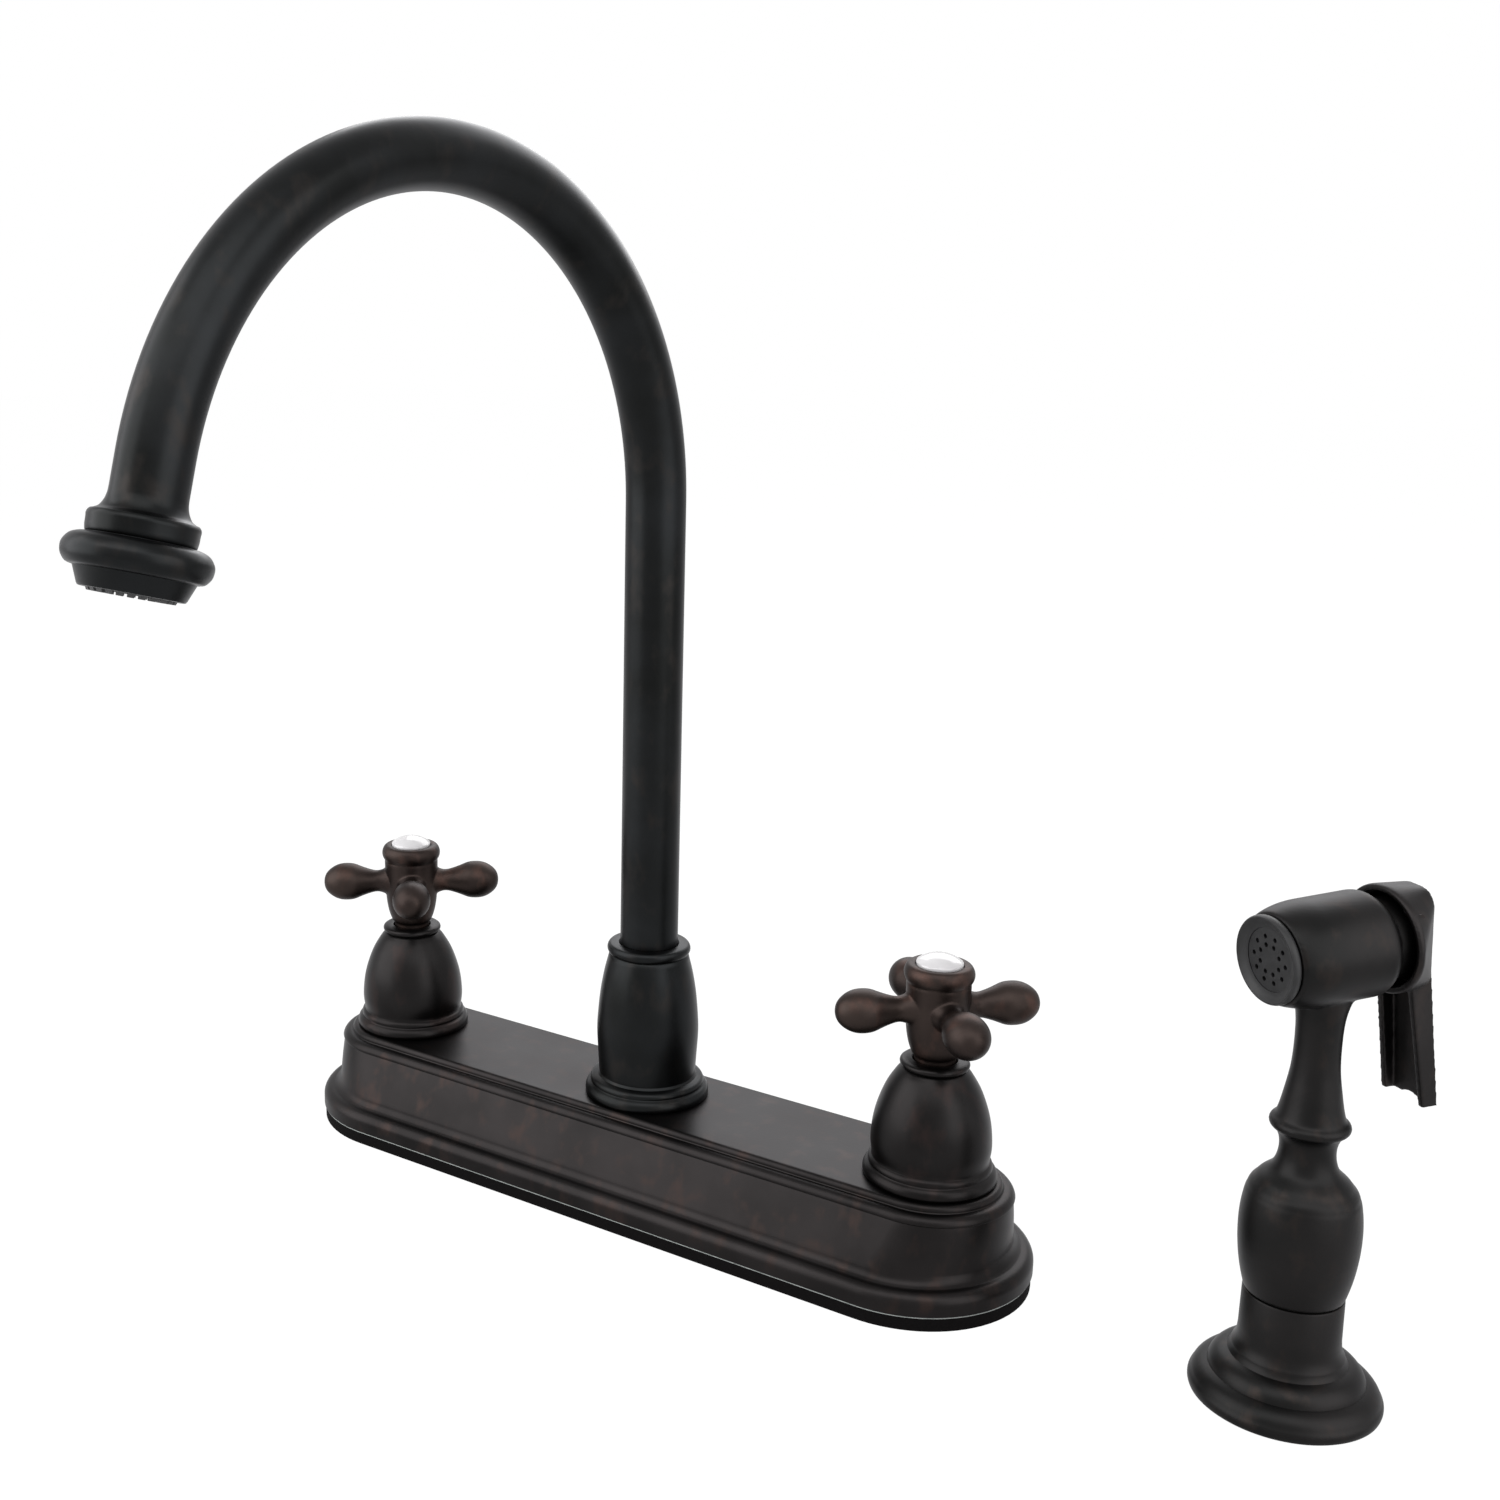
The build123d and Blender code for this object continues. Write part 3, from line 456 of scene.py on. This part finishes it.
def buildBell(name, side):
    line = outline(
        (15.2, 33.3), (19.4, 33.3), (19.75, 33.5), (19.9, 33.9), ("arc", (19.75, 35.5), (18.85, 36.75)),
        (18.5, 36.95), (18.35, 37.2), ("arc", (18.35, 38.1), (17.75, 39.05)), (17.5, 39.25), (17.4, 39.6),
        ("curve", (17.9, 44.8), (17.0, 52.5), (14.5, 60.2), (11.6, 65.4), (9.75, 67.75)),
        (9.3, 67.95), (9.4, 68.2), ("arc", (10.3, 69.2), (9.4, 70.3)), (9.0, 70.5),
        (6.8, 70.5), (6.6, 70.3), (6.6, 67.2),
        ("curve", (10.6, 62.2), (13.4, 56.6), (15.4, 49.0), (15.7, 45.0)), (15.2, 38.5))
    piece = turnProfile(name + "BellTurned", line, covers["steps"])
    place(piece, Matrix.Translation((side * covers["handleSpan"] * mm, 0, 0)))
    finishPiece(piece, "faucet_base", [name + "_bell"], bellBronze, 34)


for bellName, bellSide in (("hot", -1), ("cold", 1)):
    buildBell(bellName, bellSide)


def buildCollar():
    line = outline(
        (14.6, 33.3), (19.8, 33.3), (20.2, 33.5), (20.35, 33.9), ("arc", (20.2, 35.6), (19.25, 36.95)),
        (18.9, 37.15), (18.7, 37.4), ("arc", (18.6, 38.5), (17.75, 39.35)), (16.4, 39.8), (15.9, 40.5),
        ("curve", (16.25, 46.5), (16.7, 55.0), (16.4, 61.4), (15.7, 68.4), (14.5, 75.3), (13.0, 81.3)),
        (12.6, 81.75), ("arc", (13.6, 83.4), (12.9, 85.0)), (12.5, 85.2), (9.9, 85.2), (9.5, 84.9),
        (9.5, 79.5), ("curve", (12.4, 74.0), (13.7, 66.0), (14.3, 56.0)))
    piece = turnProfile("spoutCollarTurned", line, covers["steps"])
    finishPiece(piece, "faucet_base", ["spout_collar"], spoutBronze, 34)


buildCollar()
print("covers made")


# spout

spout = {
    "radius": 9.4, "foot": 47.0, "rise": 229.5, "bendRadius": 98.7, "bend": 164.4, "drop": 8.6,
    "azimuth": -94.0, "sides": 72, "bendSteps": 90,
}
spoutPlane = Matrix.Rotation(math.radians(spout["azimuth"]), 4, "Z")
outletAngle = math.radians(180 - spout["bend"])
dropStep = Vector((math.sin(outletAngle), 0, -math.cos(outletAngle))) * spout["drop"] * mm
outletFrame = (
    spoutPlane
    @ Matrix.Translation((spout["bendRadius"] * (1 + math.cos(outletAngle)) * mm, 0,
                          (spout["rise"] + spout["bendRadius"] * math.sin(outletAngle)) * mm))
    @ Matrix.Translation(dropStep)
    @ Matrix.Rotation(math.radians(spout["bend"]), 4, "Y"))


def buildSpoutTube():
    deselectAll()
    bpy.ops.mesh.primitive_circle_add(
        vertices=spout["sides"], radius=spout["radius"] * mm, location=(0, 0, 0))
    piece = bpy.context.object
    piece.name = "spoutTubeBent"
    bpy.ops.object.mode_set(mode="EDIT")
    bpy.ops.mesh.select_all(action="SELECT")
    bpy.ops.transform.translate(value=(0, 0, spout["foot"] * mm))
    bpy.ops.mesh.extrude_region_move(
        TRANSFORM_OT_translate={"value": (0, 0, (spout["rise"] - spout["foot"]) * mm)})
    bpy.ops.mesh.spin(
        steps=spout["bendSteps"], angle=-math.radians(spout["bend"]),
        center=(spout["bendRadius"] * mm, 0, spout["rise"] * mm), axis=(0, 1, 0))
    bpy.ops.mesh.extrude_region_move(TRANSFORM_OT_translate={"value": tuple(dropStep)})
    bpy.ops.mesh.edge_face_add()
    bpy.ops.mesh.select_all(action="DESELECT")
    bpy.ops.mesh.select_non_manifold(extend=False)
    bpy.ops.mesh.edge_face_add()
    bpy.ops.mesh.select_all(action="SELECT")
    bpy.ops.mesh.normals_make_consistent(inside=False)
    bpy.ops.object.mode_set(mode="OBJECT")
    place(piece, spoutPlane)
    finishPiece(piece, "spout", ["spout_tube"], spoutBronze, 40)


def buildOutlet():
    line = outline(
        (9.0, 0.2), (9.4, 0.0), ("curve", (9.5, 1.5), (9.95, 3.2), (10.9, 4.8), (12.2, 5.6)),
        (12.7, 5.7), ("arc", (13.2, 6.2), (13.4, 7.6)), (13.35, 9.6), (13.15, 10.8), (12.95, 11.1),
        (13.1, 11.35), ("curve", (14.3, 11.3), (16.4, 12.2), (17.75, 14.0), (18.0, 15.6), (17.6, 17.3),
                        (16.4, 18.8), (15.1, 19.25)),
        (14.6, 19.3), (14.4, 19.7), (12.95, 23.3), (12.6, 23.8), (12.2, 23.9), (11.8, 23.8),
        (11.2, 22.8), (11.2, 12.0), (9.0, 9.0))
    piece = turnProfile("spoutOutletTurned", line, covers["steps"])
    place(piece, outletFrame)
    finishPiece(piece, "spout", ["spout_outlet"], spoutBronze, 34)


buildSpoutTube()
buildOutlet()
print("spout made")


# cross handles

handles = {"voxel": 0.36, "rounds": 5, "buttonSteps": 96}


def buildHandle(name, side):
    grip = softCopy(name + "_cross_handle", name + "HandleCast", handles["voxel"], handles["rounds"])
    finishPiece(grip, name + "_handle", [name + "_cross_handle"], handleBronze, 40)
    button = turnProfile(name + "ButtonGlazed", outline(
        (0, 103.2), ("arc", (4.6, 102.3), (6.6, 101.05)), ("arc", (6.83, 100.75), (6.9, 100.3)), (6.9, 94.0),
        (5.2, 94.0), (5.2, 97.5), (0, 97.5)), handles["buttonSteps"], closed=False)
    place(button, Matrix.Translation((side * covers["handleSpan"] * mm, 0, 0)))
    finishPiece(button, name + "_handle", [name + "_index_button"], whitePorcelain, 40)


for handleName, handleSide in (("hot", -1), ("cold", 1)):
    buildHandle(handleName, handleSide)
print("handles made")


# sprayer

sprayer = {
    "x": 207.4, "barrelHeight": 127.7, "turn": -127.0, "tilt": 4.0, "ringSteps": 96,
    "bodyVoxel": 0.52, "bodyRounds": 3, "leverVoxel": 0.36, "leverRounds": 4,
}
sprayerStand = Matrix.Translation((sprayer["x"] * mm, 0, 0))
headFrame = (
    sprayerStand @ Matrix.Rotation(math.radians(sprayer["turn"]), 4, "Z")
    @ Matrix.Translation((0, 0, sprayer["barrelHeight"] * mm))
    @ Matrix.Rotation(math.radians(sprayer["tilt"]), 4, "Y") @ Matrix.Rotation(math.radians(90), 4, "Y"))


def buildHolder():
    line = outline(
        (22.4, 0), (24.2, 0), (24.6, 0.3), ("arc", (24.9, 1.6), (24.3, 3.4)),
        ("arc", (23.0, 5.6), (20.9, 7.0)), (20.45, 7.2), (20.15, 7.3), (20.05, 7.7),
        ("arc", (18.5, 10.3), (15.9, 11.75)), (15.3, 11.95), (15.15, 12.2),
        ("arc", (14.7, 13.0), (14.4, 14.0)), ("arc", (13.7, 15.4), (13.25, 17.4)), (13.1, 19.0),
        (12.95, 30.3), (12.75, 30.8), (12.4, 31.0), (9.9, 31.0), (9.9, -36.0), (12.4, -36.0),
        (12.4, 3.0), (20.4, 3.0))
    piece = turnProfile("holderBaseTurned", line, covers["steps"])
    place(piece, sprayerStand)
    finishPiece(piece, "faucet_base", ["holder_base"], sprayerBronze, 34)


def buildSprayBody():
    piece = softCopy("spray_body", "sprayBodyCast", sprayer["bodyVoxel"], sprayer["bodyRounds"])
    finishPiece(piece, "sprayer", ["spray_body"], sprayerBronze, 40)


def buildNozzleRing():
    line = outline(
        (7.6, 13.0), (9.45, 13.0), (9.45, 16.4), (11.1, 16.4), (11.35, 16.55),
        ("arc", (11.77, 17.6), (11.6, 18.55)), (11.4, 18.85), (11.05, 18.85),
        ("curve", (10.3, 18.3), (9.3, 17.8), (8.4, 17.6)), (8.4, 15.6), (7.6, 15.6))
    piece = turnProfile("nozzleRingTurned", line, sprayer["ringSteps"])
    place(piece, headFrame)
    finishPiece(piece, "sprayer", ["nozzle_ring"], greyNozzle, 34)


hood = {
    "front": -17.5, "depth": 9.3, "spreadAcross": 2.0, "spreadUp": 8.9, "spreadDown": 9.7, "steps": 96,
}


def buildHood():
    # the cap's skin: round in front, with its quarters moved apart towards the flat back
    skin = turnProfile("capHood", outline(
        (14.1, -16.1), (14.45, -16.6), (14.5, -17.5), (5.4, -26.0), (4.5, -26.0), (13.6, -17.7),
        (12.7, -17.2), (12.6, -16.6), (13.0, -16.1)), hood["steps"])
    place(skin, Matrix.Rotation(math.pi / hood["steps"], 4, "Z"))
    for level in levelsOf(skin):
        share = (hood["front"] - level) / hood["depth"]
        if share <= 0:
            continue
        for up in (-1, 1):
            rise = -hood["spreadUp"] if up > 0 else hood["spreadDown"]
            for across in (-1, 1):
                moveVertices(skin, level, lambda co: co.x * up < 0 and co.y * across > 0,
                             (rise * share, across * hood["spreadAcross"] * share, 0))
    place(skin, headFrame)
    return skin


def buildLever():
    piece = softCopy(
        "trigger_lever", "leverCast", sprayer["leverVoxel"], sprayer["leverRounds"], [buildHood()])
    finishPiece(piece, "trigger", ["trigger_lever"], leverBronze, 40)


buildHolder()
buildSprayBody()
buildNozzleRing()
buildLever()
print("sprayer made")


# floor, light and camera

studio = {
    "floorSize": 8000.0, "floorHeight": -0.2, "floorBlend": 0.93, "floorGlow": 1.06, "worldStrength": 0.2,
    "floorInMetal": 0.55,
    "key": {"place": (-0.62, -0.66, 0.50), "aim": (0, 0, 0.12), "size": (1.0, 1.05), "power": 11.0},
    "fill": {"place": (0.95, -0.10, 0.45), "aim": (0.05, 0, 0.12), "size": (0.95, 0.95), "power": 6.5},
    "top": {"place": (0.3, -0.7, 1.1), "aim": (0, -0.05, 0.15), "size": (1.1, 0.8), "power": 7.0},
    "back": {"place": (-0.25, 0.85, 0.75), "aim": (0, 0, 0.2), "size": (1.2, 0.7), "power": 8.0},
}


def buildFloor():
    deselectAll()
    bpy.ops.mesh.primitive_plane_add(
        size=studio["floorSize"] * mm, location=(0, 0, studio["floorHeight"] * mm))
    floor = bpy.context.object
    floor.name = "studioFloor"
    material, nodes, links, shader = newMaterial("paleFloor")
    nodes.remove(shader)
    diffuse = nodes.new("ShaderNodeBsdfDiffuse")
    diffuse.inputs["Color"].default_value = (0.9, 0.9, 0.9, 1)
    glow = nodes.new("ShaderNodeEmission")
    glow.inputs["Color"].default_value = (1, 1, 1, 1)
    glow.inputs["Strength"].default_value = studio["floorGlow"]
    path = nodes.new("ShaderNodeLightPath")
    seen = nodes.new("ShaderNodeMath")
    seen.operation = "MAXIMUM"
    direct = nodes.new("ShaderNodeMath")
    direct.operation = "MULTIPLY"
    direct.inputs[1].default_value = studio["floorBlend"]
    mirrored = nodes.new("ShaderNodeMath")
    mirrored.operation = "MULTIPLY"
    mirrored.inputs[1].default_value = studio["floorInMetal"]
    mix = nodes.new("ShaderNodeMixShader")
    links.new(path.outputs["Is Camera Ray"], direct.inputs[0])
    links.new(path.outputs["Is Glossy Ray"], mirrored.inputs[0])
    links.new(direct.outputs[0], seen.inputs[0])
    links.new(mirrored.outputs[0], seen.inputs[1])
    links.new(seen.outputs[0], mix.inputs["Fac"])
    links.new(diffuse.outputs["BSDF"], mix.inputs[1])
    links.new(glow.outputs["Emission"], mix.inputs[2])
    links.new(mix.outputs["Shader"], nodes["Material Output"].inputs["Surface"])
    floor.data.materials.append(material)


def buildWorld():
    world = bpy.data.worlds.new("studioWorld")
    bpy.context.scene.world = world
    world.use_nodes = True
    nodes, links = world.node_tree.nodes, world.node_tree.links
    background = nodes["Background"]
    path = nodes.new("ShaderNodeLightPath")
    seen = nodes.new("ShaderNodeMath")
    seen.operation = "MAXIMUM"
    alsoGlass = nodes.new("ShaderNodeMath")
    alsoGlass.operation = "MAXIMUM"
    strength = nodes.new("ShaderNodeMapRange")
    strength.inputs["To Min"].default_value = studio["worldStrength"]
    strength.inputs["To Max"].default_value = 1.0
    links.new(path.outputs["Is Camera Ray"], seen.inputs[0])
    links.new(path.outputs["Is Glossy Ray"], seen.inputs[1])
    links.new(seen.outputs[0], alsoGlass.inputs[0])
    links.new(path.outputs["Is Transmission Ray"], alsoGlass.inputs[1])
    links.new(alsoGlass.outputs[0], strength.inputs["Value"])
    links.new(strength.outputs["Result"], background.inputs["Strength"])
    background.inputs["Color"].default_value = (1, 1, 1, 1)


def addSoftbox(name):
    box = studio[name]
    light = bpy.data.lights.new(name + "Softbox", "AREA")
    light.shape = "RECTANGLE"
    light.size, light.size_y = box["size"]
    light.energy = box["power"]
    lamp = bpy.data.objects.new(name + "Softbox", light)
    bpy.context.scene.collection.objects.link(lamp)
    lamp.location = box["place"]
    towards = Vector(box["aim"]) - Vector(box["place"])
    lamp.rotation_euler = towards.to_track_quat("-Z", "Y").to_euler()


buildFloor()
buildWorld()
for softbox in ("key", "fill", "top", "back"):
    addSoftbox(softbox)

view = {
    "place": (0.31799, -0.49398, 0.29400), "yaw": 37.233, "pitch": -12.784, "roll": -0.084,
    "focalPixels": 1884.0, "frame": 1500.0, "axisX": 509.2, "axisY": 715.9, "sensor": 36.0,
}


def buildCamera():
    data = bpy.data.cameras.new("photoCamera")
    camera = bpy.data.objects.new("photoCamera", data)
    bpy.context.scene.collection.objects.link(camera)
    camera.location = view["place"]
    level = Euler((math.radians(90 + view["pitch"]), 0, math.radians(view["yaw"]))).to_matrix()
    camera.rotation_euler = (level @ Matrix.Rotation(math.radians(view["roll"]), 3, "Z")).to_euler()
    data.sensor_width = view["sensor"]
    data.lens = view["focalPixels"] / view["frame"] * view["sensor"]
    data.shift_x = (view["frame"] / 2 - view["axisX"]) / view["frame"]
    data.shift_y = (view["axisY"] - view["frame"] / 2) / view["frame"]
    data.clip_start, data.clip_end = 0.01, 50
    bpy.context.scene.camera = camera


buildCamera()
bpy.context.scene.view_settings.view_transform = "Standard"
print("studio set")
